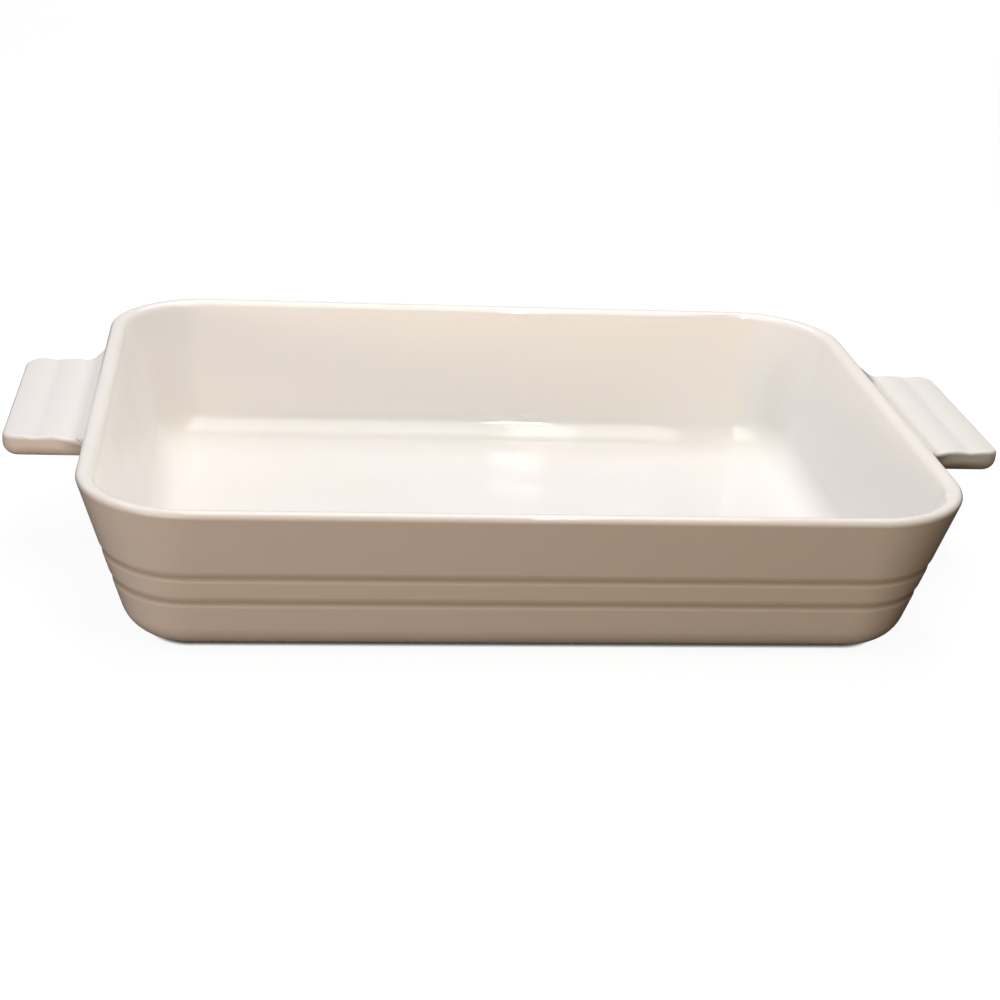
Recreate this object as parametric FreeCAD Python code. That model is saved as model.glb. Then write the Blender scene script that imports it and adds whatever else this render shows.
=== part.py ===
import FreeCAD, Part
import math
import os

# Oblong baking dish in glazed stoneware, with a banded lug handle on each short end.
# Millimetres, +Z up. The origin lies under the middle of the dish, on the surface it stands on.
# +X runs along the length, from the left handle to the right one, and +Y towards the back.

# Basin, measured over the glaze
rim_length = 320.0             # over the widest line of the rounded rim
rim_width = 246.0
dish_height = 62.0
wall_flare = 19.5              # how far the outside leans in between the rim and the standing level
wall_thickness = 6.0           # measured level
floor_thickness = 6.5
floor_cove_radius = 14.0       # inside, where the wall turns into the floor
base_edge_radius = 15.0        # outside, where the wall turns under
heart_corner_radius = 5.0      # corner of the flat field left in the middle of the dish
rim_outer_round_share = 1 / 3  # of the wall thickness
rim_inner_round_share = 2 / 3  # of the wall thickness

# Two shallow grooves round the outside of the wall
lower_groove_height = 23.5     # above the standing level
groove_pitch = 11.0
groove_width = 4.4
groove_depth = 0.6
groove_shoulder_radius = 3.5
groove_bottom_radius = 2.5

# Foot ring that the dish stands on
foot_height = 1.2              # from the standing level to the glazed underside of the base
foot_width = 5.0
foot_inset = 1.0               # from the end of the rounded base edge
foot_edge_radius = 0.5

# Glaze
glaze_thickness = 0.4
glaze_seam_gap = 0.3           # from the rounded rim down the inside, to where the two coats meet

# Lug handles, measured over the glaze
handle_reach = 30.5            # out from the widest line of the rim
handle_width = 90.0
handle_thickness = 8.5
handle_drop = 3.6              # from the top of the rim down to the top of the handle
handle_corner_radius = 6.0
handle_root_radius = 4.0       # hollow curve between the side of the handle and the wall
handle_root_sink = 0.3         # how far inside the wall that curve ends, at the underside
handle_top_radius = 1.2
handle_underside_share = 0.8   # rounding of the lower edge, as a share of the corner radius
handle_bands = 3
band_pitch = 12.2              # counted in from the end of the handle
band_groove_width = 5.0
band_groove_depth = 0.45

# How far a cutting shape runs past what it cuts
overrun = 5.0

# Heights closer together than this count as one level
level_tolerance = 0.01

# Sizes worked out from the ones above
slope = wall_flare / dish_height
lean = math.atan(slope)
half_bend = (math.pi / 2 - lean) / 2
floor_top = foot_height + floor_thickness
clay_underside = foot_height + glaze_thickness
clay_floor_top = floor_top - glaze_thickness
rim_outer_radius = wall_thickness * rim_outer_round_share
rim_inner_radius = wall_thickness * rim_inner_round_share
rim_overhang = rim_outer_radius * (slope + 1 / math.cos(lean) - 1)
base_corner_inset = slope * (dish_height - foot_height) - rim_overhang
base_edge_end = base_corner_inset + base_edge_radius * math.tan(half_bend)
cove_corner_inset = wall_thickness + slope * (dish_height - floor_top) - rim_overhang
cove_end = cove_corner_inset + floor_cove_radius * math.tan(half_bend)
foot_outer_inset = base_edge_end + foot_inset
foot_inner_inset = foot_outer_inset + foot_width
rim_corner_radius = max(foot_inner_inset, cove_end) + heart_corner_radius
heart_half_length = rim_length / 2 - rim_corner_radius
heart_half_width = rim_width / 2 - rim_corner_radius
rim_round_drop = rim_inner_radius * math.tan(half_bend) * math.cos(lean)
seam_height = dish_height - rim_round_drop - glaze_seam_gap
handle_top = dish_height - handle_drop
handle_bottom = handle_top - handle_thickness
handle_end = rim_length / 2 + handle_reach
band_groove_radius = (band_groove_width ** 2 / 4 + band_groove_depth ** 2) / (2 * band_groove_depth)
up = FreeCAD.Vector(0, 0, 1)
right_angle = 90


def wall_inset(height):
    """How far the plain outside of the wall lies in from the rim at this height."""
    return slope * (dish_height - height) - rim_overhang


def groove_corners(height):
    """Shoulder, bottom and shoulder of one groove in the outside of the wall, from below."""
    half = groove_width / 2
    level_depth = groove_depth / math.cos(lean)
    return [
        (wall_inset(height - half), height - half, groove_shoulder_radius),
        (wall_inset(height) + level_depth, height, groove_bottom_radius),
        (wall_inset(height + half), height + half, groove_shoulder_radius),
    ]


def outside_corners():
    """Corners of the glazed outside, from the base edge up past both grooves and over the rim.

    A corner is its inset from the rim, its height and the radius that rounds it."""
    corners = [(base_corner_inset, foot_height, base_edge_radius)]
    corners += groove_corners(lower_groove_height)
    corners += groove_corners(lower_groove_height + groove_pitch)
    corners.append((-rim_overhang, dish_height, rim_outer_radius))
    corners.append((wall_thickness - rim_overhang, dish_height, rim_inner_radius))
    return corners


def inside_corners():
    """Corners of the glazed inside, from the foot of the wall to the middle of the floor."""
    return [
        (cove_corner_inset, floor_top, floor_cove_radius),
        (rim_corner_radius, floor_top, 0),
    ]


def direction(start, end):
    """Unit direction from one corner to another."""
    across = end[0] - start[0]
    along = end[1] - start[1]
    length = math.hypot(across, along)
    return across / length, along / length


def under_glaze(corners):
    """The outline moved into the clay by the glaze, with its roundings kept concentric."""
    moved = []
    last = len(corners) - 1
    for i, (inset, height, radius) in enumerate(corners):
        before = direction(corners[max(i - 1, 0)], corners[max(i, 1)])
        after = direction(corners[min(i, last - 1)], corners[min(i + 1, last)])
        bend = before[0] * after[1] - before[1] * after[0]
        stretch = glaze_thickness / (1 + before[0] * after[0] + before[1] * after[1])
        inset_moved = inset + stretch * (before[1] + after[1])
        height_moved = height - stretch * (before[0] + after[0])
        radius_moved = radius + math.copysign(glaze_thickness, bend) if radius else 0
        moved.append((inset_moved, height_moved, radius_moved))
    return moved


def rounded_face(corners, place):
    """Flat face with straight runs between its corners, each corner rounded by its radius."""
    starts = []
    middles = []
    ends = []
    for i, (a, b, radius) in enumerate(corners):
        before = direction(corners[i - 1], corners[i])
        after = direction(corners[i], corners[(i + 1) % len(corners)])
        half_turn = math.acos(before[0] * after[0] + before[1] * after[1]) / 2
        reach = radius * math.tan(half_turn)
        sagitta = radius / math.cos(half_turn) - radius
        inward = direction(before, after)
        starts.append(place(a - before[0] * reach, b - before[1] * reach))
        middles.append(place(a + inward[0] * sagitta, b + inward[1] * sagitta))
        ends.append(place(a + after[0] * reach, b + after[1] * reach))
    edges = []
    for i, corner in enumerate(corners):
        if corner[2]:
            edges.append(Part.Arc(starts[i], middles[i], ends[i]).toShape())
        edges.append(Part.LineSegment(ends[i], starts[(i + 1) % len(corners)]).toShape())
    return Part.Face(Part.Wire(edges))


def section_point(inset, height):
    """A point of a section, measured from the axis of a rounded corner of the dish."""
    return FreeCAD.Vector(rim_corner_radius - inset, 0, height)


def merged(pieces):
    """One solid from pieces that meet face to face."""
    return pieces[0].multiFuse(pieces[1:]).removeSplitter().Solids[0]


def heart_block(bottom, top):
    """Block over the flat field in the middle of the dish, between two heights."""
    corner = FreeCAD.Vector(-heart_half_length, -heart_half_width, bottom)
    return Part.makeBox(2 * heart_half_length, 2 * heart_half_width, top - bottom, corner)


def carried_round(corners, middle=()):
    """A section turned about the axis of each corner and drawn along each side of the dish."""
    section = rounded_face(corners, section_point)
    axes = [
        FreeCAD.Vector(heart_half_length, heart_half_width, 0),
        FreeCAD.Vector(-heart_half_length, heart_half_width, 0),
        FreeCAD.Vector(-heart_half_length, -heart_half_width, 0),
        FreeCAD.Vector(heart_half_length, -heart_half_width, 0),
    ]
    pieces = list(middle)
    for i, axis in enumerate(axes):
        turned = section.rotated(FreeCAD.Vector(), up, right_angle * i).translated(axis)
        pieces.append(turned.revolve(axis, up, right_angle))
        drawn = section.rotated(FreeCAD.Vector(), up, right_angle * (i + 1)).translated(axis)
        pieces.append(drawn.extrude(axes[(i + 1) % len(axes)] - axis))
    return merged(pieces)


def seam_points():
    """The seam of the two coats inside the wall, at the glaze and straight under it at the clay."""
    inset = wall_inset(seam_height) + wall_thickness
    clay_inset = inset - glaze_thickness * math.cos(lean)
    clay_height = seam_height - glaze_thickness * math.sin(lean)
    return (inset, seam_height, 0), (clay_inset, clay_height, 0)


def clay_outline():
    """Outline of the bare clay, split into its underside, its outside and its inside."""
    outside = outside_corners()
    whole = under_glaze([(rim_corner_radius, foot_height, 0)] + outside + inside_corners())
    inside_start = 1 + len(outside)
    return whole[:1], whole[1:inside_start], whole[inside_start:]


def stoneware_basin():
    """Fired clay basin: the floor and the flared wall, up to the rim, without its glaze."""
    underside, outside, inside = clay_outline()
    return carried_round(underside + outside + inside, [heart_block(clay_underside, clay_floor_top)])


def inside_glaze():
    """Coat over the floor and the inside of the wall."""
    seam, clay_seam = seam_points()
    clay_inside = clay_outline()[2]
    corners = [seam] + inside_corners() + clay_inside[::-1] + [clay_seam]
    return carried_round(corners, [heart_block(clay_floor_top, floor_top)])


def foot_ring():
    """Bare ring under the base, ground flat, that the dish stands on."""
    return carried_round([
        (foot_outer_inset, clay_underside, 0),
        (foot_outer_inset, 0, foot_edge_radius),
        (foot_inner_inset, 0, foot_edge_radius),
        (foot_inner_inset, clay_underside, 0),
    ])


def wall_x(height):
    """Where the plain outside of the right end wall stands at this height."""
    return rim_length / 2 - wall_inset(height)


def handle_lug(depth):
    """Right handle, reaching into the wall, with its whole surface moved in by a depth."""
    top = handle_top - depth
    bottom = handle_bottom + depth
    half = handle_width / 2 - depth
    root_x = wall_x(handle_bottom) - handle_root_sink - depth
    end_x = handle_end - depth
    root = handle_root_radius + depth
    corner = handle_corner_radius - depth
    back_x = root_x - overrun
    spread = half + root + overrun
    plan = [
        (back_x, -spread, 0),
        (root_x, -spread, 0),
        (root_x, -half, root),
        (end_x, -half, corner),
        (end_x, half, corner),
        (root_x, half, root),
        (root_x, spread, 0),
        (back_x, spread, 0),
    ]
    face = rounded_face(plan, lambda out, across: FreeCAD.Vector(out, across, top))
    lug = face.extrude(FreeCAD.Vector(0, 0, bottom - top))
    lug = rounded_edge(lug, bottom, root_x, handle_corner_radius * handle_underside_share - depth)
    lug = rounded_edge(lug, top, root_x, handle_top_radius - depth)
    return lug.cut(band_grooves(depth))


def rounded_edge(lug, height, root_x, radius):
    """The lug with its edge at one height rounded, from root to root."""
    edges = []
    for edge in lug.Edges:
        middle = edge.valueAt((edge.FirstParameter + edge.LastParameter) / 2)
        ends_level = all(abs(vertex.Z - height) < level_tolerance for vertex in edge.Vertexes)
        if ends_level and middle.x > root_x - level_tolerance:
            edges.append(edge)
    return lug.makeFillet(radius, edges)


def band_grooves(depth):
    """Round-bottomed cuts across the top of the handle, which leave raised bands between them."""
    radius = band_groove_radius + depth
    height = handle_top - band_groove_depth + band_groove_radius
    length = handle_width + 2 * handle_root_radius + 2 * overrun
    cuts = []
    for i in range(1, handle_bands):
        start = FreeCAD.Vector(handle_end - band_pitch * i, -length / 2, height)
        cuts.append(Part.makeCylinder(radius, length, start, FreeCAD.Vector(0, 1, 0)))
    return cuts


def wall_block(depth):
    """Block that stands for everything behind the plain face of the right end wall."""
    level_depth = depth / math.cos(lean)
    high = dish_height
    low = handle_bottom - overrun
    back = wall_x(low) - 2 * overrun
    spread = handle_width / 2 + handle_root_radius + 2 * overrun
    points = [
        FreeCAD.Vector(wall_x(high) - level_depth, -spread, high),
        FreeCAD.Vector(wall_x(low) - level_depth, -spread, low),
        FreeCAD.Vector(back, -spread, low),
        FreeCAD.Vector(back, -spread, high),
    ]
    face = Part.Face(Part.makePolygon(points + points[:1]))
    return face.extrude(FreeCAD.Vector(0, 2 * spread, 0))


def turned_about(shape):
    """The same shape on the other end of the dish."""
    return shape.rotated(FreeCAD.Vector(), up, 2 * right_angle)


def right_handle():
    """Fired clay lug on the right end wall, without its glaze."""
    return handle_lug(glaze_thickness).cut(wall_block(glaze_thickness)).Solids[0]


def outside_glaze():
    """Coat over the rim, the outside of the wall, the base edge and both handles."""
    seam, clay_seam = seam_points()
    clay_outside = clay_outline()[1]
    foot_side = [(foot_outer_inset, clay_underside, 0), (foot_outer_inset, foot_height, 0)]
    wall_coat = carried_round(foot_side + outside_corners() + [seam, clay_seam] + clay_outside[::-1])
    core = handle_lug(glaze_thickness)
    handle_coat = handle_lug(0).cut(wall_block(0)).cut(core)
    wall_coat = wall_coat.cut([core, turned_about(core)])
    return merged([wall_coat, handle_coat, turned_about(handle_coat)])


handle = right_handle()
nodes = {
    "stoneware_basin": stoneware_basin(),
    "left_handle": turned_about(handle),
    "right_handle": handle,
    "foot_ring": foot_ring(),
    "inside_glaze": inside_glaze(),
    "outside_glaze": outside_glaze(),
}
os.makedirs("parts", exist_ok=True)
for name, shape in nodes.items():
    shape.exportStep("parts/%s.step" % name)
    print(name, "solids", len(shape.Solids), "valid", shape.isValid(), "volume", round(shape.Volume, 1))
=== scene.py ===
import math

import bmesh
import bpy
import numpy as np
from mathutils import Matrix, Vector


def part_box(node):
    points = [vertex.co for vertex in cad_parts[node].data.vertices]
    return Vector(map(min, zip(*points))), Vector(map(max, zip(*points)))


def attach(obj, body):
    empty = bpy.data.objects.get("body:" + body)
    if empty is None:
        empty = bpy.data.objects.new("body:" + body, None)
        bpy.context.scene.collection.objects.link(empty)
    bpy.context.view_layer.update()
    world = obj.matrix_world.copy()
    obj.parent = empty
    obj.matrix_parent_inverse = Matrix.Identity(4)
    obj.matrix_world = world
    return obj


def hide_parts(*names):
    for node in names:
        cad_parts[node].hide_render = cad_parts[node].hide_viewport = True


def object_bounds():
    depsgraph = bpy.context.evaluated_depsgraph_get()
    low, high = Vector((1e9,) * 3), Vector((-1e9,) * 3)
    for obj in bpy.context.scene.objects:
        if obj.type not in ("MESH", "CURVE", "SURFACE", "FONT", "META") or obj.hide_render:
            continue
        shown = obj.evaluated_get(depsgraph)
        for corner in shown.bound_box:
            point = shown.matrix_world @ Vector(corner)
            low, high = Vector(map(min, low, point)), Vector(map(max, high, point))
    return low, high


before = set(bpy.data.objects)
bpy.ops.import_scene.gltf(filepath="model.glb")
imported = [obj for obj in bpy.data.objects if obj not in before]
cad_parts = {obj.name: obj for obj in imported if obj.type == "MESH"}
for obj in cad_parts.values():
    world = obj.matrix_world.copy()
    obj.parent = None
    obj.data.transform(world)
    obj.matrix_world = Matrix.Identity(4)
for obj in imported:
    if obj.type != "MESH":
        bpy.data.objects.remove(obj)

cad_low, cad_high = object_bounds()

# Clay body: the pressed basin, the two lugs joined to its end walls while soft, and the foot ring.
# Buff stoneware, fired dense and matt. It shows only under the base, where the ring was wiped clean of
# glaze and ground flat so that the dish stands without rocking.
clay_buff = (0.66, 0.56, 0.43, 1.0)
clay_dark = (0.50, 0.39, 0.28, 1.0)
clay_speck = (0.23, 0.15, 0.10, 1.0)
clay_cloud_scale = 38.0
clay_cloud_detail = 5.0
clay_cloud_range = (0.35, 0.7)
clay_speck_scale = 420.0
clay_speck_share = 0.75
clay_speck_edge = (0.10, 0.22)
clay_grain_scale = 1500.0
clay_grain_detail = 3.0
clay_grain_range = (0.3, 0.7)
clay_grain_depth = 0.0002
clay_grain_strength = 0.35
clay_roughness = (0.72, 0.92)


def add_node(tree, kind, properties=None, **sockets):
    """A new node. Sockets are named with underscores for spaces, and take a value or another socket."""
    made = tree.nodes.new(kind)
    for name, value in (properties or {}).items():
        setattr(made, name, value)
    for name, value in sockets.items():
        socket = made.inputs[name.replace("_", " ")]
        if isinstance(value, bpy.types.NodeSocket):
            tree.links.new(value, socket)
        else:
            socket.default_value = value
    return made


def empty_material(name):
    """A node material with its shader and output joined, and the object's own coordinates."""
    material = bpy.data.materials.new(name)
    material.use_nodes = True
    tree = material.node_tree
    tree.nodes.clear()
    shader = add_node(tree, "ShaderNodeBsdfPrincipled")
    add_node(tree, "ShaderNodeOutputMaterial", Surface=shader.outputs["BSDF"])
    place = add_node(tree, "ShaderNodeTexCoord").outputs["Object"]
    return material, tree, shader, place


def between(tree, value, low, high, start=0.0, end=1.0):
    """A value carried smoothly from one range to another, held at its ends."""
    mapped = add_node(tree, "ShaderNodeMapRange", {"clamp": True, "interpolation_type": "SMOOTHSTEP"},
                      Value=value, From_Min=low, From_Max=high, To_Min=start, To_Max=end)
    return mapped.outputs["Result"]


def blended(tree, share, first, second):
    """Two colours mixed by a share."""
    return add_node(tree, "ShaderNodeMixRGB", Fac=share, Color1=first, Color2=second).outputs["Color"]


def fired_clay():
    """Buff clay with darker clouds, iron specks and the fine drag marks of a wiped surface."""
    material, tree, shader, place = empty_material("fired_clay")
    cloud = add_node(tree, "ShaderNodeTexNoise", Vector=place, Scale=clay_cloud_scale,
                     Detail=clay_cloud_detail)
    grain = add_node(tree, "ShaderNodeTexNoise", Vector=place, Scale=clay_grain_scale,
                     Detail=clay_grain_detail)
    specks = add_node(tree, "ShaderNodeTexVoronoi", Vector=place, Scale=clay_speck_scale)
    clouded = blended(tree, between(tree, cloud.outputs["Fac"], *clay_cloud_range), clay_buff, clay_dark)
    speck_share = between(tree, specks.outputs["Distance"], *clay_speck_edge, clay_speck_share, 0.0)
    speckled = blended(tree, speck_share, clouded, clay_speck)
    tree.links.new(speckled, shader.inputs["Base Color"])
    roughness = between(tree, grain.outputs["Fac"], *clay_grain_range, *clay_roughness)
    tree.links.new(roughness, shader.inputs["Roughness"])
    bump = add_node(tree, "ShaderNodeBump", Strength=clay_grain_strength, Distance=clay_grain_depth,
                    Height=grain.outputs["Fac"])
    tree.links.new(bump.outputs["Normal"], shader.inputs["Normal"])
    return material


clay = fired_clay()
for name in ("stoneware_basin", "left_handle", "right_handle", "foot_ring"):
    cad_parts[name].data.materials.clear()
    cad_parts[name].data.materials.append(clay)

# Inside glaze: the poured white coat over the floor and the inside of the wall, up to the rounded rim.
# Glossy warm-white glass, about 0.4 mm thick, fused to the clay. Its section is carried round the dish.
handle_reach = 0.0305
wall_flare = 0.0195
wall_thickness = 0.006
floor_thickness = 0.0065
floor_cove_radius = 0.014
foot_height = 0.0012
foot_width = 0.005
heart_corner_radius = 0.005
rim_outer_radius = wall_thickness / 3
rim_inner_radius = wall_thickness * 2 / 3
glaze_thickness = 0.0004
seam_gap = 0.0003
arc_step = math.radians(5)
sharp_angle = math.radians(50)
corner_steps = 28
side_cuts = 4
merge_distance = 1e-6
level_tolerance = 10 * merge_distance
glaze_white = (0.91, 0.89, 0.87, 1.0)
glaze_cream = (0.905, 0.88, 0.84, 1.0)
glaze_rose = (0.915, 0.87, 0.85, 1.0)
glaze_thin = (0.89, 0.86, 0.81, 1.0)
# Groove colour: pooled glaze together with painted shade, standing for the shade that falls in the grooves.
glaze_pool_and_painted_shade = (0.62, 0.53, 0.43, 1.0)
cloud_scale = 9.0
cloud_detail = 3.0
cloud_range = (0.35, 0.65)
mottle_scale = 42.0
mottle_detail = 4.0
mottle_distortion = 0.6
mottle_range = (0.45, 0.75)
mottle_share = 0.6
thin_share = 0.5
gloss_range = (0.3, 0.7)
gloss_roughness = (0.015, 0.04)
wave_scale = 24.0
wave_detail = 1.0
wave_depth = 0.00004
peel_scale = 240.0
peel_detail = 2.0
peel_depth = 0.0000015
satin_start = 0.115
satin_reach = 0.02
satin_top = 0.056
satin_roughness = 0.21
pool_and_shade_start = 0.0002
pool_and_shade_reach = 0.0018
pool_and_shade_share = 0.8
pool_and_shade_drop = 0.0004

dish_height = cad_high.z
rim_width = cad_high.y - cad_low.y
rim_length = cad_high.x - cad_low.x - 2 * handle_reach
slope = wall_flare / dish_height
lean = math.atan(slope)
half_bend = (math.pi / 2 - lean) / 2
rim_overhang = rim_outer_radius * (slope + 1 / math.cos(lean) - 1)
floor_top = foot_height + floor_thickness
foot_outer_inset = rim_length / 2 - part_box("foot_ring")[1].x
rim_corner_radius = foot_outer_inset + foot_width + heart_corner_radius
seam_height = dish_height - rim_inner_radius * math.tan(half_bend) * math.cos(lean) - seam_gap


def wall_inset(height):
    """How far the plain outside of the wall lies in from the rim at this height."""
    return slope * (dish_height - height) - rim_overhang


def rounded_section(corners):
    """Points of a section through corners, each an inset, a height and the radius of its rounding arc."""
    points = []
    for i, (inset, height, radius) in enumerate(corners):
        corner = np.array((inset, height))
        if not radius:
            points.append(corner)
            continue
        before = corner - corners[i - 1][:2]
        before /= np.linalg.norm(before)
        after = np.array(corners[i + 1][:2]) - corner
        after /= np.linalg.norm(after)
        turn = math.atan2(before[0] * after[1] - before[1] * after[0], before @ after)
        start = corner - before * radius * math.tan(abs(turn) / 2)
        spoke = math.copysign(radius, turn) * np.array((before[1], -before[0]))
        steps = max(2, math.ceil(abs(turn) / arc_step))
        for k in range(steps + 1):
            cosine = math.cos(turn * k / steps)
            sine = math.sin(turn * k / steps)
            turned = np.array((cosine * spoke[0] - sine * spoke[1], sine * spoke[0] + cosine * spoke[1]))
            points.append(start - spoke + turned)
    return points


def calculated(tree, operation, first, second):
    """One step of arithmetic between two values or sockets."""
    step = add_node(tree, "ShaderNodeMath", {"operation": operation})
    for socket, value in zip(step.inputs, (first, second)):
        if isinstance(value, bpy.types.NodeSocket):
            tree.links.new(value, socket)
        else:
            socket.default_value = value
    return step.outputs["Value"]


def carry_round_tree():
    """Geometry nodes that carry a section round the dish's rounded rectangle and can fill its middle."""
    tree = bpy.data.node_groups.new("carry_round", "GeometryNodeTree")
    tree.interface.new_socket("Geometry", in_out="INPUT", socket_type="NodeSocketGeometry")
    for name in ("Rim Length", "Rim Width", "Corner Radius", "Fill Height"):
        tree.interface.new_socket(name, in_out="INPUT", socket_type="NodeSocketFloat")
    for name in ("Corner Steps", "Side Cuts"):
        tree.interface.new_socket(name, in_out="INPUT", socket_type="NodeSocketInt")
    tree.interface.new_socket("Filled", in_out="INPUT", socket_type="NodeSocketBool")
    tree.interface.new_socket("Material", in_out="INPUT", socket_type="NodeSocketMaterial")
    tree.interface.new_socket("Geometry", in_out="OUTPUT", socket_type="NodeSocketGeometry")
    given = add_node(tree, "NodeGroupInput").outputs

    # Path: four sides cut into even lengths, with only the corners rounded
    sides = add_node(tree, "GeometryNodeCurvePrimitiveQuadrilateral",
                     Width=given["Rim Length"], Height=given["Rim Width"])
    cut_sides = add_node(tree, "GeometryNodeSubdivideCurve", Curve=sides.outputs["Curve"],
                         Cuts=given["Side Cuts"])
    index = add_node(tree, "GeometryNodeInputIndex").outputs["Index"]
    points_per_side = calculated(tree, "ADD", given["Side Cuts"], 1)
    is_corner = calculated(tree, "LESS_THAN", calculated(tree, "MODULO", index, points_per_side), 0.5)
    radius = calculated(tree, "MULTIPLY", is_corner, given["Corner Radius"])
    path = add_node(tree, "GeometryNodeFilletCurve", {"mode": "POLY"}, Curve=cut_sides.outputs["Curve"],
                    Count=given["Corner Steps"], Radius=radius)
    upright = add_node(tree, "GeometryNodeSetCurveNormal", {"mode": "Z_UP"}, Curve=path.outputs["Curve"])

    # Skin: the section carried along that path, its faces turned towards the open side
    section = add_node(tree, "GeometryNodeMeshToCurve", Mesh=given["Geometry"])
    carried = add_node(tree, "GeometryNodeCurveToMesh", Curve=upright.outputs["Curve"],
                       Profile_Curve=section.outputs["Curve"])
    turned = add_node(tree, "GeometryNodeFlipFaces", Mesh=carried.outputs["Mesh"])
    skin = add_node(tree, "GeometryNodeMergeByDistance", Geometry=turned.outputs["Mesh"],
                    Distance=merge_distance)

    # Middle: the skin's free edge at the given height, filled level
    position = add_node(tree, "GeometryNodeInputPosition").outputs["Position"]
    height = add_node(tree, "ShaderNodeSeparateXYZ", Vector=position).outputs["Z"]
    from_level = calculated(tree, "ABSOLUTE", calculated(tree, "SUBTRACT", height, given["Fill Height"]), 0.0)
    is_level = calculated(tree, "LESS_THAN", from_level, level_tolerance)
    faces = add_node(tree, "GeometryNodeInputMeshEdgeNeighbors").outputs["Face Count"]
    is_free = calculated(tree, "LESS_THAN", faces, 1.5)
    edge = add_node(tree, "GeometryNodeMeshToCurve", Mesh=skin.outputs["Geometry"],
                    Selection=calculated(tree, "MULTIPLY", is_level, is_free))
    middle = add_node(tree, "GeometryNodeFillCurve", {"mode": "NGONS"}, Curve=edge.outputs["Curve"])
    lift = add_node(tree, "ShaderNodeCombineXYZ", Z=given["Fill Height"])
    lifted = add_node(tree, "GeometryNodeTransform", Geometry=middle.outputs["Mesh"],
                      Translation=lift.outputs["Vector"])
    joined = add_node(tree, "GeometryNodeJoinGeometry")
    tree.links.new(skin.outputs["Geometry"], joined.inputs["Geometry"])
    tree.links.new(lifted.outputs["Geometry"], joined.inputs["Geometry"])
    whole = add_node(tree, "GeometryNodeMergeByDistance", Geometry=joined.outputs["Geometry"],
                     Distance=level_tolerance)
    chosen = add_node(tree, "GeometryNodeSwitch", {"input_type": "GEOMETRY"}, Switch=given["Filled"])
    tree.links.new(skin.outputs["Geometry"], chosen.inputs["False"])
    tree.links.new(whole.outputs["Geometry"], chosen.inputs["True"])
    smooth = add_node(tree, "GeometryNodeSetShadeSmooth", Geometry=chosen.outputs["Output"])
    real = add_node(tree, "GeometryNodeRealizeInstances", Geometry=smooth.outputs["Geometry"])
    painted = add_node(tree, "GeometryNodeSetMaterial", Geometry=real.outputs["Geometry"],
                       Material=given["Material"])
    add_node(tree, "NodeGroupOutput", Geometry=painted.outputs["Geometry"])
    return tree


def plain_mesh(thing, name):
    """The object with its modifiers worked out, as a new object with a plain mesh."""
    depsgraph = bpy.context.evaluated_depsgraph_get()
    mesh = bpy.data.meshes.new_from_object(thing.evaluated_get(depsgraph))
    bpy.data.objects.remove(thing)
    mesh.name = name
    made = bpy.data.objects.new(name, mesh)
    bpy.context.scene.collection.objects.link(made)
    return made


def carried_round(name, section, material, filled=False):
    """The skin that a section leaves when it is carried round the dish."""
    mesh = bpy.data.meshes.new(name)
    edges = [(i, i + 1) for i in range(len(section) - 1)]
    mesh.from_pydata([(-inset, -height, 0) for inset, height in section], edges, [])
    host = bpy.data.objects.new(name, mesh)
    bpy.context.scene.collection.objects.link(host)
    modifier = host.modifiers.new("carry_round", "NODES")
    modifier.node_group = carry_round
    values = {"Rim Length": rim_length, "Rim Width": rim_width, "Corner Radius": rim_corner_radius,
              "Corner Steps": corner_steps, "Side Cuts": side_cuts, "Filled": filled,
              "Fill Height": section[-1][1], "Material": material}
    for socket in carry_round.interface.items_tree:
        if socket.name in values:
            modifier[socket.identifier] = values[socket.name]
    return plain_mesh(host, name)


def thickened(skin, name):
    """The skin given the thickness of the glaze, towards the clay, as one closed coat."""
    coat = skin.modifiers.new("coat", "SOLIDIFY")
    coat.thickness = glaze_thickness
    coat.offset = -1
    made = plain_mesh(skin, name)
    made.data.set_sharp_from_angle(angle=sharp_angle)
    even = made.modifiers.new("even", "WEIGHTED_NORMAL")
    even.keep_sharp = True
    return plain_mesh(made, name)


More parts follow.
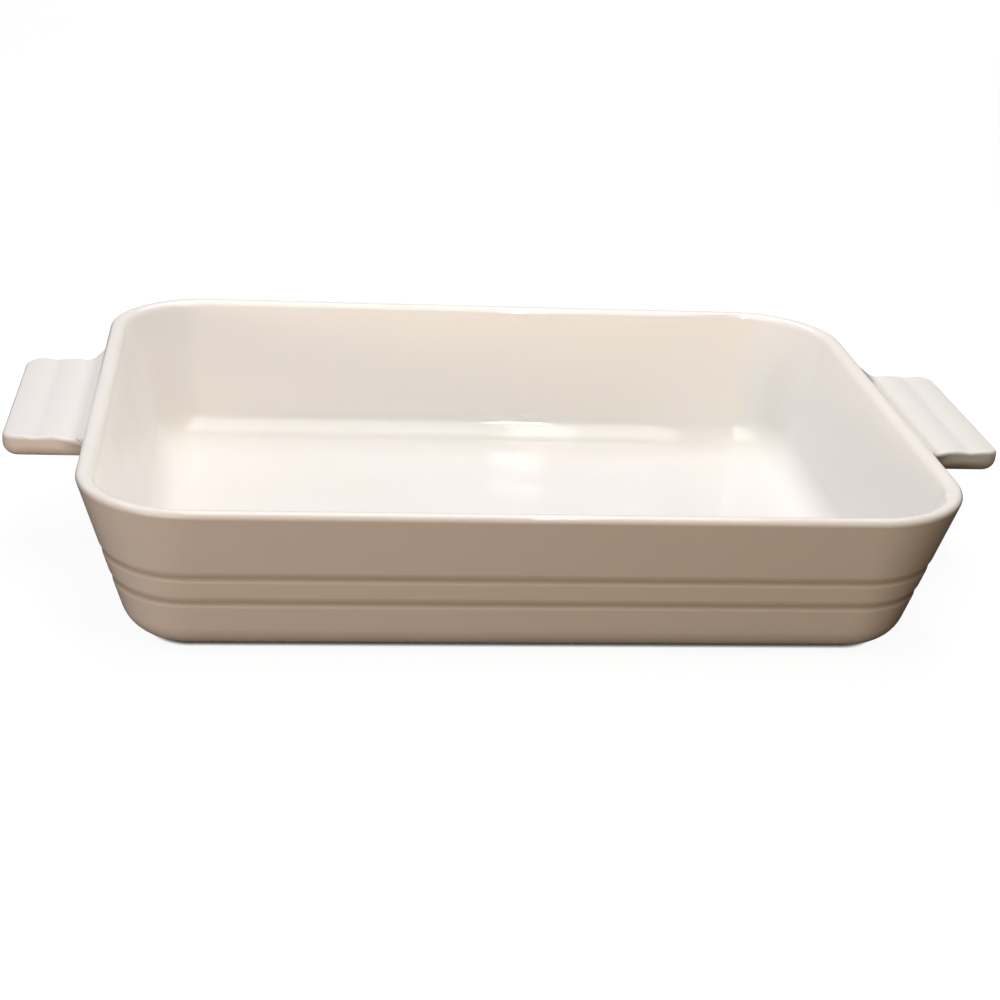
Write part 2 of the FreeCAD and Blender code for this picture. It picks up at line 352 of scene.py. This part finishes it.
def white_glaze(name, groove_heights=()):
    """Glossy warm white, clouded, satin at the ends, thin over the rim, and darker in the wall's grooves,
    partly from pooled glaze and partly from painted shade.
    """
    material, tree, shader, place = empty_material(name)
    split = add_node(tree, "ShaderNodeSeparateXYZ", Vector=place).outputs
    height = split["Z"]
    cloud = add_node(tree, "ShaderNodeTexNoise", Vector=place, Scale=cloud_scale, Detail=cloud_detail)
    mottle = add_node(tree, "ShaderNodeTexNoise", Vector=place, Scale=mottle_scale, Detail=mottle_detail,
                      Distortion=mottle_distortion)
    clouded = blended(tree, between(tree, cloud.outputs["Fac"], *cloud_range), glaze_white, glaze_cream)
    rosy = between(tree, mottle.outputs["Fac"], *mottle_range, 0.0, mottle_share)
    mottled = blended(tree, rosy, clouded, glaze_rose)
    thin = between(tree, height, dish_height - rim_inner_radius, dish_height, 0.0, thin_share)
    colour = blended(tree, thin, mottled, glaze_thin)
    # Painted shade: each groove gets a dark brown band below its middle, partly pooled glaze and partly the
    # shade that falls in the groove.
    for groove in groove_heights:
        off = calculated(tree, "ABSOLUTE", calculated(tree, "SUBTRACT", height, groove - pool_and_shade_drop), 0.0)
        pooled_and_shaded = between(tree, off, pool_and_shade_start, pool_and_shade_reach, pool_and_shade_share, 0.0)
        colour = blended(tree, pooled_and_shaded, colour, glaze_pool_and_painted_shade)
    tree.links.new(colour, shader.inputs["Base Color"])
    endwise = calculated(tree, "ABSOLUTE", split["X"], 0.0)
    satin = calculated(tree, "MULTIPLY", between(tree, height, satin_top, dish_height, satin_roughness, 0.0),
                       between(tree, endwise, satin_start, satin_start + satin_reach))
    uneven = between(tree, mottle.outputs["Fac"], *gloss_range, *gloss_roughness)
    tree.links.new(calculated(tree, "ADD", uneven, satin), shader.inputs["Roughness"])
    wave = add_node(tree, "ShaderNodeTexNoise", Vector=place, Scale=wave_scale, Detail=wave_detail)
    peel = add_node(tree, "ShaderNodeTexNoise", Vector=place, Scale=peel_scale, Detail=peel_detail)
    waved = add_node(tree, "ShaderNodeBump", Strength=1.0, Distance=wave_depth, Height=wave.outputs["Fac"])
    peeled = add_node(tree, "ShaderNodeBump", Strength=1.0, Distance=peel_depth, Height=peel.outputs["Fac"],
                      Normal=waved.outputs["Normal"])
    tree.links.new(peeled.outputs["Normal"], shader.inputs["Normal"])
    return material


carry_round = carry_round_tree()
inside_skin = carried_round("inside_skin", rounded_section([
    (wall_inset(seam_height) + wall_thickness, seam_height, 0),
    (wall_inset(floor_top) + wall_thickness, floor_top, floor_cove_radius),
    (rim_corner_radius - heart_corner_radius / 2, floor_top, 0),
]), white_glaze("poured_glaze"), filled=True)
inside_glaze = thickened(inside_skin, "inside_glaze_coat")
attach(inside_glaze, "root")
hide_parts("inside_glaze")

# Outside glaze: the dipped coat over the rim, the grooved wall, the base edge and both lug handles.
# The same glass as inside. The wall's section is carried round, and each end wall opens into the skin of
# its handle, which flows out of the wall and the rim in hollow curves as a sponged joint does.
base_edge_radius = 0.015
lower_groove_height = 0.0235
groove_pitch = 0.011
groove_width = 0.0044
groove_depth = 0.0006
groove_shoulder_radius = 0.0035
groove_bottom_radius = 0.0025
handle_width = 0.09
handle_thickness = 0.0088
handle_drop = 0.0033
handle_corner_radius = 0.006
handle_underside_radius = 0.0048
handle_top_radius = 0.0012
band_pitch = 0.0122
band_swell = 0.00075
band_valley_width = 0.0012
upper_root_radius = 0.014
lower_root_radius = 0.006
handle_root_sink = 0.0003
side_blend_radius = 0.003
upper_blend_radius = 0.0045
lower_blend_radius = 0.003
panel_bottom = 0.0395
panel_top_gap = 0.0002
patch_half_width = 0.065
patch_bottom = 0.0425
patch_columns = 120
patch_rows = 90
edge_crowding = 3.0
edge_crowding_width = 0.0022
first_steps = 40
relaxing_rounds = 12
relaxing_steps = 4
longest_step = 0.001
probe_distance = 1e-7
smallest_spread = 1e-3
smallest_length = 1e-9
smallest_square = 1e-12
largest_cosine = 0.999
guide_steps = 40
upper_edge_corner = 3

handle_top = dish_height - handle_drop
handle_bottom = handle_top - handle_thickness
handle_end = rim_length / 2 + handle_reach
wall_foot_x = rim_length / 2 + rim_overhang - wall_flare
rim_round_drop = rim_outer_radius / math.tan(half_bend) * math.cos(lean)
panel_top = dish_height - rim_round_drop - panel_top_gap


def wall_x(height):
    """Where the plain outside of the right end wall stands at this height."""
    return wall_foot_x + slope * height


def groove_corners(height):
    """Shoulder, bottom and shoulder of one groove in the outside of the wall, from below."""
    half = groove_width / 2
    return [
        (wall_inset(height - half), height - half, groove_shoulder_radius),
        (wall_inset(height) + groove_depth / math.cos(lean), height, groove_bottom_radius),
        (wall_inset(height + half), height + half, groove_shoulder_radius),
    ]


def rounded_meeting(first, second, cosine, radius):
    """Distance to the solid where two solids overlap, its edge rounded; cosine is that of their normals."""
    a = first + radius
    b = second + radius
    spread = np.maximum(1 - cosine ** 2, smallest_spread)
    inside_arc = (a > cosine * b) & (b > cosine * a)
    reach = np.sqrt(np.maximum(a ** 2 + b ** 2 - 2 * cosine * a * b, 0) / spread)
    return np.where(inside_arc, reach - radius, np.maximum(first, second))


def wall_distance(points):
    """Distance from the right end wall with its rounded rim, below zero inside it."""
    x, z = points[:, 0], points[:, 2]
    outer = (x - wall_x(z)) * math.cos(lean)
    inner = -outer - wall_thickness * math.cos(lean)
    crest = z - dish_height
    outer_edge = rounded_meeting(outer, crest, -math.sin(lean), rim_outer_radius)
    inner_edge = rounded_meeting(inner, crest, math.sin(lean), rim_inner_radius)
    return np.maximum(outer_edge, inner_edge)


def top_height(x):
    """Height of the handle's top, whose bands swell softly and meet in narrow valleys."""
    along = np.maximum(handle_end - x, 0) / band_pitch
    off_centre = 2 * (along - np.floor(along)) - 1
    valley = band_valley_width / band_pitch
    return handle_top - band_swell * (np.sqrt((1 - abs(off_centre)) ** 2 + valley ** 2) - 1) ** 2


def lug_side(points):
    """How far a point lies outside the lug's side, whose root spreads more at the top than below."""
    x, y, z = points.T
    slab = rounded_meeting(x - handle_end, abs(y) - handle_width / 2, 0.0, handle_corner_radius)
    rise = np.clip((z - handle_bottom) / handle_thickness, 0, 1)
    root_radius = lower_root_radius + (upper_root_radius - lower_root_radius) * rise
    return -rounded_meeting(wall_x(z) - handle_root_sink - x, -slab, 0.0, root_radius)


def lug_distance(points):
    """Distance from the right lug, a rounded slab with a banded top and a spreading root."""
    x, z = points[:, 0], points[:, 2]
    side = lug_side(points)
    lift = np.array((0, 0, probe_distance))
    overhang = (lug_side(points + lift) - side) / probe_distance
    stretch = np.sqrt(1 + overhang ** 2)
    upper = rounded_meeting(side / stretch, z - top_height(x), overhang / stretch, handle_top_radius)
    whole = rounded_meeting(upper, handle_bottom - z, 0.0, handle_underside_radius)
    return np.maximum(whole, (wall_x(z) - wall_thickness / 2 - x) * math.cos(lean))


def measured(distance, points):
    """A distance at each point, with the direction in which it grows."""
    here = distance(points)
    steps = [(distance(points + axis) - here) / probe_distance for axis in np.eye(3) * probe_distance]
    direction = np.stack(steps, axis=1)
    return here, direction / np.maximum(np.linalg.norm(direction, axis=1), smallest_length)[:, None]


def skin_distance(points):
    """Distance from the wall and the lug joined by a hollow curve, with the direction in which it grows."""
    wall, wall_normal = measured(wall_distance, points)
    lug, lug_normal = measured(lug_distance, points)
    flat_share = lug_normal[:, 2] ** 2
    flat_radius = np.where(lug_normal[:, 2] > 0, upper_blend_radius, lower_blend_radius)
    radius = side_blend_radius + (flat_radius - side_blend_radius) * flat_share
    cosine = np.clip((wall_normal * lug_normal).sum(axis=1), -largest_cosine, largest_cosine)
    a = radius - wall
    b = radius - lug
    spread = 1 - cosine ** 2
    in_curve = (a > cosine * b) & (b > cosine * a)
    reach = np.sqrt(np.maximum(a ** 2 + b ** 2 - 2 * cosine * a * b, smallest_square) / spread)
    distance = np.where(in_curve, radius - reach, np.minimum(wall, lug))
    wall_share = np.where(in_curve, (a - cosine * b) / (spread * reach), wall < lug)
    lug_share = np.where(in_curve, (b - cosine * a) / (spread * reach), wall >= lug)
    return distance, wall_share[:, None] * wall_normal + lug_share[:, None] * lug_normal


def onto_skin(points, held, steps):
    """The points moved step by step to the nearest place on the skin, apart from those that are held."""
    free = ~held
    for step in range(steps):
        distance, direction = skin_distance(points[free])
        points[free] -= direction * np.clip(distance, -longest_step, longest_step)[:, None]
    return points


def lug_outline(along):
    """Plan of the lug: how far out and how far across it is, this far along from the middle of its end."""
    half = handle_width / 2
    root_x = wall_x(handle_top)
    end_run = half - handle_corner_radius
    corner_run = handle_corner_radius * math.pi / 2
    side_run = handle_end - handle_corner_radius - root_x - upper_root_radius
    root_run = upper_root_radius * math.pi / 2
    past = abs(along) - end_run
    if past < 0:
        return handle_end, along
    if past < corner_run:
        turn = past / handle_corner_radius
        out = handle_end - handle_corner_radius * (1 - math.cos(turn))
        return out, math.copysign(end_run + handle_corner_radius * math.sin(turn), along)
    past -= corner_run
    if past < side_run:
        return handle_end - handle_corner_radius - past, math.copysign(half, along)
    past -= side_run
    if past < root_run:
        turn = past / upper_root_radius
        out = root_x + upper_root_radius * (1 - math.sin(turn))
        return out, math.copysign(half + upper_root_radius * (1 - math.cos(turn)), along)
    return root_x, math.copysign(half + upper_root_radius + past - root_run, along)


def outline_length():
    """Length of the lug's outline from the middle of its end to the border of the patch."""
    curves = (handle_corner_radius + upper_root_radius) * math.pi / 2
    side = handle_end - wall_x(handle_top) - handle_corner_radius - upper_root_radius
    return patch_half_width - handle_corner_radius - upper_root_radius + side + curves


def guide_points(across, out, lug_across):
    """Corners of one column of the patch, from the wall below, out round the lug and back to the rim."""
    top_x = wall_x(handle_top)
    bottom_x = wall_x(handle_bottom)
    nearness = max(0, 1 - (out - top_x) / upper_root_radius)
    return np.array([
        (wall_x(patch_bottom), across, patch_bottom),
        (bottom_x, across, handle_bottom),
        (out - (top_x - bottom_x) * nearness, lug_across, handle_bottom),
        (out, lug_across, handle_top),
        (top_x, across, handle_top),
        (wall_x(panel_top), across, panel_top),
    ])


def spread_along(corners, rows):
    """Points along a column's guide, crowded where it turns over the lug's upper edge."""
    fine = np.linspace(0, 1, guide_steps)[:, None]
    runs = [corners[i] + (corners[i + 1] - corners[i]) * fine for i in range(len(corners) - 1)]
    line = np.vstack([runs[0]] + [run[1:] for run in runs[1:]])
    steps = np.linalg.norm(np.diff(line, axis=0), axis=1)
    length = np.concatenate([[0], np.cumsum(steps)])
    edge = length[upper_edge_corner * (guide_steps - 1)]
    weight = 1 + edge_crowding * np.exp(-((length - edge) / edge_crowding_width) ** 2)
    measure = np.concatenate([[0], np.cumsum((weight[1:] + weight[:-1]) / 2 * steps)])
    wanted = np.linspace(0, measure[-1], rows)
    return np.stack([np.interp(wanted, measure, line[:, k]) for k in range(3)], axis=1)


def rim_section():
    """Section of the rim, from the top of the end wall's panel over the crest and down to the seam."""
    return rounded_section([
        (wall_inset(panel_top), panel_top, 0),
        (-rim_overhang, dish_height, rim_outer_radius),
        (wall_thickness - rim_overhang, dish_height, rim_inner_radius),
        (wall_inset(seam_height) + wall_thickness, seam_height, 0),
    ])


def evened(grid):
    """The grid with each inner point at the middle of its four neighbours, apart from the rim's rows."""
    even = grid.copy()
    even[1:-1, 1:-1] = (grid[:-2, 1:-1] + grid[2:, 1:-1] + grid[1:-1, :-2] + grid[1:-1, 2:]) / 4
    even[:, patch_rows:] = grid[:, patch_rows:]
    return even


def handle_patch():
    """Grid of points on the skin of the right handle and the panel of wall and rim that it grows from."""
    columns = []
    rim = rim_section()[1:]
    reach = outline_length()
    for i in range(patch_columns + 1):
        share = 2 * i / patch_columns - 1
        across = share * patch_half_width
        guide = spread_along(guide_points(across, *lug_outline(share * reach)), patch_rows)
        over = [(rim_length / 2 - inset, across, height) for inset, height in rim]
        columns.append(np.vstack([guide, over]))
    grid = np.array(columns)
    held = np.zeros(grid.shape[:2], bool)
    held[0] = held[-1] = True
    held[:, 0] = held[:, -1] = True
    flat = onto_skin(grid.reshape(-1, 3), held.reshape(-1), first_steps)
    for step in range(relaxing_rounds):
        even = evened(flat.reshape(grid.shape))
        flat = onto_skin(even.reshape(-1, 3), held.reshape(-1), relaxing_steps)
    return flat.reshape(grid.shape)


def opened_skin(skin):
    """The skin with the panel that each handle grows from taken out of its end wall."""
    work = bmesh.new()
    work.from_mesh(skin.data)
    panels = []
    for face in work.faces:
        across = max(abs(vert.co.y) for vert in face.verts)
        lowest = min(vert.co.z for vert in face.verts)
        if across < panel_half_width + merge_distance and lowest > panel_bottom - merge_distance:
            panels.append(face)
    bmesh.ops.delete(work, geom=panels, context="FACES")
    return work


def sew_handle(work, grid, turn):
    """A handle's patch set into the open panel, with the flat faces that join it to the panel's border."""
    def vert(point):
        return work.verts.new((turn * point[0], turn * point[1], point[2]))

    rim = [(rim_length / 2 - inset, height) for inset, height in rim_section()]
    columns = [[vert(point) for point in column] for column in grid]
    near = [vert((out, -panel_half_width, height)) for out, height in rim]
    far = [vert((out, panel_half_width, height)) for out, height in rim]
    places = [2 * k / (side_cuts - 1) - 1 for k in range(side_cuts)]
    foot = [vert((wall_x(panel_bottom), panel_half_width * place, panel_bottom)) for place in places]
    crest = [near] + [column[patch_rows - 1:] for column in columns] + [far]
    lug = [column[:patch_rows] for column in columns]
    for strips in (crest, lug):
        for first, second in zip(strips, strips[1:]):
            for k in range(len(first) - 1):
                work.faces.new((first[k], second[k], second[k + 1], first[k + 1]))
    work.faces.new([foot[0]] + lug[0] + [near[0]])
    work.faces.new([far[0]] + lug[-1][::-1] + [foot[-1]])
    work.faces.new(foot + [column[0] for column in reversed(columns)])


panel_half_width = rim_width / 2 * (1 - 2 / (side_cuts + 1))
outside_section = rounded_section([
    (foot_outer_inset, foot_height, 0),
    (wall_inset(foot_height), foot_height, base_edge_radius),
] + groove_corners(lower_groove_height) + groove_corners(lower_groove_height + groove_pitch) + [
    (wall_inset(panel_bottom), panel_bottom, 0),
]) + rim_section()
grooves = (lower_groove_height, lower_groove_height + groove_pitch)
outside_skin = carried_round("outside_skin", outside_section, white_glaze("dipped_glaze", grooves))
patch = handle_patch()
opened = opened_skin(outside_skin)
sew_handle(opened, patch, 1)
sew_handle(opened, patch, -1)
bmesh.ops.remove_doubles(opened, verts=opened.verts, dist=merge_distance)
for face in opened.faces:
    face.smooth = True
opened.to_mesh(outside_skin.data)
opened.free()
outside_glaze = thickened(outside_skin, "outside_glaze_coat")
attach(outside_glaze, "root")
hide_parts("outside_glaze")

# Stage: a plain pale floor with broad soft lamps overhead, behind and low in front, and small bright ones
# above the viewer for the glints. The camera stands where the photograph was taken from.
floor_size = 8.0
backdrop_white = (1.0, 1.0, 1.0, 1.0)
floor_shown = (0.12, 0.12, 0.12, 1.0)
floor_glow = (0.94, 0.94, 0.94, 1.0)
floor_mirrored = (0.1, 0.085, 0.07, 1.0)
floor_bounce = (0.05, 0.035, 0.025, 1.0)
contact_reach = 0.002
contact_range = (0.45, 0.85)
contact_samples = 8
room_mirrored = (0.55, 0.55, 0.54, 1.0)
ambient = (0.0, 0.0, 0.0, 1.0)
dish_middle = (0, 0, 0.03)
floor_glint = (0.021, 0.105, 0.022)
bulb_white = (1.0, 0.98, 0.95)
camera_yaw = math.radians(-7.53)
camera_elevation = math.radians(22.484)
camera_roll = math.radians(3.65)
camera_place = (-0.095671, -0.732336, 0.322791)
camera_focal_share = 1.96524
sensor_width = 36.0


def seen_directly(tree):
    """One for rays from the camera, mirrors and glass, else zero, and then the same for the camera alone."""
    rays = add_node(tree, "ShaderNodeLightPath").outputs
    mirrored = calculated(tree, "MAXIMUM", rays["Is Glossy Ray"], rays["Is Transmission Ray"])
    return calculated(tree, "MAXIMUM", rays["Is Camera Ray"], mirrored), rays["Is Camera Ray"]


def floor_paper():
    """Pale paper, white with a shadow close round the base. In the glaze it shows as a dull, warm table."""
    material = bpy.data.materials.new("floor_paper")
    material.use_nodes = True
    tree = material.node_tree
    tree.nodes.clear()
    seen, by_camera = seen_directly(tree)
    tone = blended(tree, seen, floor_bounce, blended(tree, by_camera, floor_mirrored, floor_shown))
    paper = add_node(tree, "ShaderNodeBsdfDiffuse", Color=tone)
    contact = add_node(tree, "ShaderNodeAmbientOcclusion", {"samples": contact_samples},
                       Distance=contact_reach)
    open_share = calculated(tree, "MULTIPLY", by_camera, between(tree, contact.outputs["AO"], *contact_range))
    glow = add_node(tree, "ShaderNodeEmission", Color=floor_glow, Strength=open_share)
    both = add_node(tree, "ShaderNodeAddShader")
    tree.links.new(paper.outputs["BSDF"], both.inputs[0])
    tree.links.new(glow.outputs["Emission"], both.inputs[1])
    add_node(tree, "ShaderNodeOutputMaterial", Surface=both.outputs["Shader"])
    return material


def soft_lamp(name, place, target, size, power, colour, mirrored=True):
    """A rectangular lamp that shines from its place towards a target, and may show in the glaze or not."""
    data = bpy.data.lights.new(name, "AREA")
    data.shape = "RECTANGLE"
    data.size, data.size_y = size
    data.energy = power
    data.color = colour
    lamp = bpy.data.objects.new(name, data)
    lamp.location = place
    lamp.visible_glossy = mirrored
    lamp.rotation_euler = (Vector(target) - Vector(place)).to_track_quat("-Z", "Y").to_euler()
    bpy.context.scene.collection.objects.link(lamp)


half = floor_size / 2
floor_mesh = bpy.data.meshes.new("floor")
floor_corners = [(-half, -half, 0), (half, -half, 0), (half, half, 0), (-half, half, 0)]
floor_mesh.from_pydata(floor_corners, [], [(0, 1, 2, 3)])
floor_mesh.materials.append(floor_paper())
floor = bpy.data.objects.new("floor", floor_mesh)
floor.location.z = cad_low.z
bpy.context.scene.collection.objects.link(floor)

world = bpy.data.worlds.new("studio")
world.use_nodes = True
world.node_tree.nodes.clear()
seen, by_camera = seen_directly(world.node_tree)
surroundings = blended(world.node_tree, by_camera, room_mirrored, backdrop_white)
sky = add_node(world.node_tree, "ShaderNodeBackground", Strength=1.0,
               Color=blended(world.node_tree, seen, ambient, surroundings))
add_node(world.node_tree, "ShaderNodeOutputWorld", Surface=sky.outputs["Background"])
bpy.context.scene.world = world

soft_lamp("overhead", place=(0.03, 0.0, 0.75), target=(0.01, 0, 0.03), size=(0.75, 0.45),
          power=3.4, colour=(1.0, 0.95, 0.872))
soft_lamp("rear_overhead", place=(0.0, 0.8, 1.1), target=dish_middle, size=(1.2, 0.35),
          power=6.2, colour=(0.925, 0.905, 1.0))
soft_lamp("low_left", place=(-0.8, -1.2, 0.12), target=dish_middle, size=(1.0, 0.2),
          power=7.0, colour=(1.0, 0.745, 0.555))
soft_lamp("low_rear", place=(0.35, 1.9, 0.16), target=dish_middle, size=(1.6, 0.2),
          power=16.0, colour=(1.0, 0.86, 0.74), mirrored=False)
soft_lamp("left_window", place=(-0.45, -0.3, 0.62), target=dish_middle, size=(0.4, 0.4),
          power=0.65, colour=(0.62, 0.74, 1.0))
soft_lamp("front_window", place=(-0.8, -1.1, 0.5), target=dish_middle, size=(0.8, 0.5),
          power=1.15, colour=(0.26, 0.72, 1.0))
soft_lamp("front_warm", place=(0.1, -1.3, 0.5), target=dish_middle, size=(0.8, 0.5),
          power=1.5, colour=(1.0, 0.59, 0.21))
soft_lamp("tube", place=(0.215, 0.05, 1.28), target=(0.215, 0.05, 0), size=(0.075, 1.1),
          power=0.9, colour=bulb_white)
soft_lamp("upper_spot", place=(0.213, -0.719, 1.261), target=floor_glint, size=(0.061, 0.027),
          power=1.1, colour=bulb_white)
soft_lamp("lower_spot", place=(0.2165, -0.693, 1.29), target=floor_glint, size=(0.061, 0.013),
          power=0.6, colour=bulb_white)
soft_lamp("left_spot", place=(-0.253, -0.719, 1.261), target=(-0.13, 0.105, 0.03), size=(0.03, 0.02),
          power=0.35, colour=bulb_white)
soft_lamp("right_spot", place=(0.5, -0.719, 1.261), target=(0.11, 0.105, 0.03), size=(0.03, 0.02),
          power=0.35, colour=bulb_white)

forward = Vector((-math.sin(camera_yaw) * math.cos(camera_elevation),
                  math.cos(camera_yaw) * math.cos(camera_elevation), -math.sin(camera_elevation)))
level_right = forward.cross(Vector((0, 0, 1))).normalized()
level_up = level_right.cross(forward)
right = math.cos(camera_roll) * level_right + math.sin(camera_roll) * level_up
up = math.cos(camera_roll) * level_up - math.sin(camera_roll) * level_right
camera_data = bpy.data.cameras.new("viewer")
camera_data.sensor_width = sensor_width
camera_data.lens = sensor_width * camera_focal_share
camera = bpy.data.objects.new("viewer", camera_data)
camera.matrix_world = Matrix.Translation(camera_place) @ Matrix((right, up, -forward)).transposed().to_4x4()
bpy.context.scene.collection.objects.link(camera)
bpy.context.scene.camera = camera
bpy.context.scene.view_settings.view_transform = "Standard"
